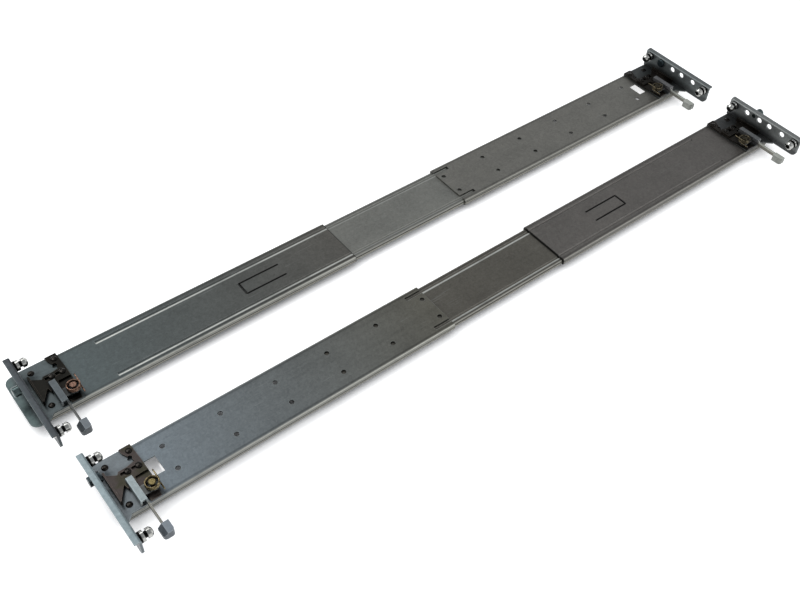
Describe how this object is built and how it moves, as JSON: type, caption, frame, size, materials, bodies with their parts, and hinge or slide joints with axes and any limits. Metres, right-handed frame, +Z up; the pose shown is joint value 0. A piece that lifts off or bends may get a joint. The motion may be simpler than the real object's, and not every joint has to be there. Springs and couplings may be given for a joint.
{
  "type": "sliding server rail pair",
  "caption": "Telescoping sliding rail pair that carries a server in a rack, with locating pins and sprung latch jaws on its end flanges.",
  "frame": {"origin": "middle of the pair, on the ground it lies on", "axes": "+X along the rails, the right-hand rail's rear end towards +X; +Y across the pair towards the right-hand rail; +Z up, the side that faces the rack's outside"},
  "size_m": [0.7692, 0.202, 0.0313],
  "materials": {
    "zinc_steel": "zinc plated, satin",
    "slide_steel": "zinc plated, smooth",
    "cage_steel": "yellow passivated",
    "ball_steel": "polished",
    "bracket_zinc": "zinc plated, satin",
    "pin_nickel": "nickel plated, turned",
    "rivet_steel": "satin",
    "latch_bronze": "dark oxide",
    "lever_zinc": "zinc plated",
    "pad_grey": "moulded, satin",
    "spring_copper": "copper washed",
    "knob_grey": "knurled",
    "screw_black": "black zinc"
  },
  "bodies": {
    "fixed_members": {"right_front_sleeve": "zinc_steel", "right_center_channel": "zinc_steel", "right_slide_outer": "slide_steel", "right_front_bracket": "bracket_zinc", "right_front_pins": "pin_nickel", "right_front_rivets": "rivet_steel", "right_front_latch_plate": "latch_bronze", "right_front_pivot": "rivet_steel", "right_front_knob": "knob_grey", "left_front_sleeve": "zinc_steel", "left_center_channel": "zinc_steel", "left_slide_outer": "slide_steel", "left_front_bracket": "bracket_zinc", "left_front_pins": "pin_nickel", "left_front_rivets": "rivet_steel", "left_front_latch_plate": "latch_bronze", "left_front_pivot": "rivet_steel", "left_front_knob": "knob_grey"},
    "right_rear_sleeve": {"right_rear_sleeve": "zinc_steel", "right_rear_bracket": "bracket_zinc", "right_rear_pins": "pin_nickel", "right_rear_rivets": "rivet_steel", "right_rear_latch_plate": "latch_bronze", "right_rear_pivot": "rivet_steel", "right_rear_screw": "screw_black"},
    "right_slide_middle": {"right_slide_middle": "slide_steel"},
    "right_slide_server": {"right_slide_server": "slide_steel"},
    "right_outer_cages": {"right_outer_cages": "cage_steel", "right_outer_balls": "ball_steel"},
    "right_inner_cages": {"right_inner_cages": "cage_steel", "right_inner_balls": "ball_steel"},
    "right_front_jaw": {"right_front_jaw": "latch_bronze"},
    "right_front_lever": {"right_front_lever": "lever_zinc", "right_front_finger_pad": "pad_grey", "right_front_spring": "spring_copper"},
    "right_rear_jaw": {"right_rear_jaw": "latch_bronze"},
    "right_rear_lever": {"right_rear_lever": "lever_zinc", "right_rear_finger_pad": "pad_grey", "right_rear_spring": "spring_copper"},
    "left_rear_sleeve": {"left_rear_sleeve": "zinc_steel", "left_rear_bracket": "bracket_zinc", "left_rear_pins": "pin_nickel", "left_rear_rivets": "rivet_steel", "left_rear_latch_plate": "latch_bronze", "left_rear_pivot": "rivet_steel", "left_rear_screw": "screw_black"},
    "left_slide_middle": {"left_slide_middle": "slide_steel"},
    "left_slide_server": {"left_slide_server": "slide_steel"},
    "left_outer_cages": {"left_outer_cages": "cage_steel", "left_outer_balls": "ball_steel"},
    "left_inner_cages": {"left_inner_cages": "cage_steel", "left_inner_balls": "ball_steel"},
    "left_front_jaw": {"left_front_jaw": "latch_bronze"},
    "left_front_lever": {"left_front_lever": "lever_zinc", "left_front_finger_pad": "pad_grey", "left_front_spring": "spring_copper"},
    "left_rear_jaw": {"left_rear_jaw": "latch_bronze"},
    "left_rear_lever": {"left_rear_lever": "lever_zinc", "left_rear_finger_pad": "pad_grey", "left_rear_spring": "spring_copper"}
  },
  "joints": [
    {"name": "right_rear_sleeve_slide", "type": "slide", "parent": "fixed_members", "child": "right_rear_sleeve", "axis": [1, 0, 0], "range_m": [-0.13, 0.087]},
    {"name": "right_middle_slide", "type": "slide", "parent": "fixed_members", "child": "right_slide_middle", "axis": [-1, 0, 0], "range_m": [0, 0.23]},
    {"name": "right_server_slide", "type": "slide", "parent": "right_slide_middle", "child": "right_slide_server", "axis": [-1, 0, 0], "range_m": [0, 0.25]},
    {"name": "right_outer_cage_slide", "type": "slide", "parent": "fixed_members", "child": "right_outer_cages", "axis": [-1, 0, 0], "range_m": [0, 0.115]},
    {"name": "right_inner_cage_slide", "type": "slide", "parent": "right_slide_middle", "child": "right_inner_cages", "axis": [-1, 0, 0], "range_m": [0, 0.125]},
    {"name": "left_rear_sleeve_slide", "type": "slide", "parent": "fixed_members", "child": "left_rear_sleeve", "axis": [-1, 0, 0], "range_m": [-0.13, 0.087]},
    {"name": "left_middle_slide", "type": "slide", "parent": "fixed_members", "child": "left_slide_middle", "axis": [1, 0, 0], "range_m": [0, 0.23]},
    {"name": "left_server_slide", "type": "slide", "parent": "left_slide_middle", "child": "left_slide_server", "axis": [1, 0, 0], "range_m": [0, 0.25]},
    {"name": "left_outer_cage_slide", "type": "slide", "parent": "fixed_members", "child": "left_outer_cages", "axis": [1, 0, 0], "range_m": [0, 0.115]},
    {"name": "left_inner_cage_slide", "type": "slide", "parent": "left_slide_middle", "child": "left_inner_cages", "axis": [1, 0, 0], "range_m": [0, 0.125]},
    {"name": "right_front_lever_hinge", "type": "hinge", "parent": "fixed_members", "child": "right_front_lever", "pos_m": [-0.3433, 0.05575, 0.0168], "axis": [0, 0, -1], "range_deg": [0, 16], "stiffness_Nm_per_rad": 0.6, "springref_deg": -17.19},
    {"name": "right_front_jaw_slide", "type": "slide", "parent": "fixed_members", "child": "right_front_jaw", "axis": [1, 0, 0], "range_m": [0, 0.0039]},
    {"name": "right_rear_lever_hinge", "type": "hinge", "parent": "right_rear_sleeve", "child": "right_rear_lever", "pos_m": [0.3367, 0.05575, 0.0168], "axis": [0, 0, 1], "range_deg": [0, 16], "stiffness_Nm_per_rad": 0.6, "springref_deg": -17.19},
    {"name": "right_rear_jaw_slide", "type": "slide", "parent": "right_rear_sleeve", "child": "right_rear_jaw", "axis": [-1, 0, 0], "range_m": [0, 0.0039]},
    {"name": "left_front_lever_hinge", "type": "hinge", "parent": "fixed_members", "child": "left_front_lever", "pos_m": [0.3433, -0.05785, 0.0168], "axis": [0, 0, 1], "range_deg": [0, 16], "stiffness_Nm_per_rad": 0.6, "springref_deg": -17.19},
    {"name": "left_front_jaw_slide", "type": "slide", "parent": "fixed_members", "child": "left_front_jaw", "axis": [-1, 0, 0], "range_m": [0, 0.0039]},
    {"name": "left_rear_lever_hinge", "type": "hinge", "parent": "left_rear_sleeve", "child": "left_rear_lever", "pos_m": [-0.3367, -0.05785, 0.0168], "axis": [0, 0, -1], "range_deg": [0, 16], "stiffness_Nm_per_rad": 0.6, "springref_deg": -17.19},
    {"name": "left_rear_jaw_slide", "type": "slide", "parent": "left_rear_sleeve", "child": "left_rear_jaw", "axis": [1, 0, 0], "range_m": [0, 0.0039]}
  ],
  "couplings": [
    {"joint": "right_outer_cage_slide", "follows": "right_middle_slide", "ratio": 0.5},
    {"joint": "right_inner_cage_slide", "follows": "right_server_slide", "ratio": 0.5},
    {"joint": "left_outer_cage_slide", "follows": "left_middle_slide", "ratio": 0.5},
    {"joint": "left_inner_cage_slide", "follows": "left_server_slide", "ratio": 0.5},
    {"joint": "right_front_jaw_slide", "follows": "right_front_lever_hinge", "m_per_rad": 0.01393},
    {"joint": "right_rear_jaw_slide", "follows": "right_rear_lever_hinge", "m_per_rad": 0.01393},
    {"joint": "left_front_jaw_slide", "follows": "left_front_lever_hinge", "m_per_rad": 0.01393},
    {"joint": "left_rear_jaw_slide", "follows": "left_rear_lever_hinge", "m_per_rad": 0.01393}
  ]
}
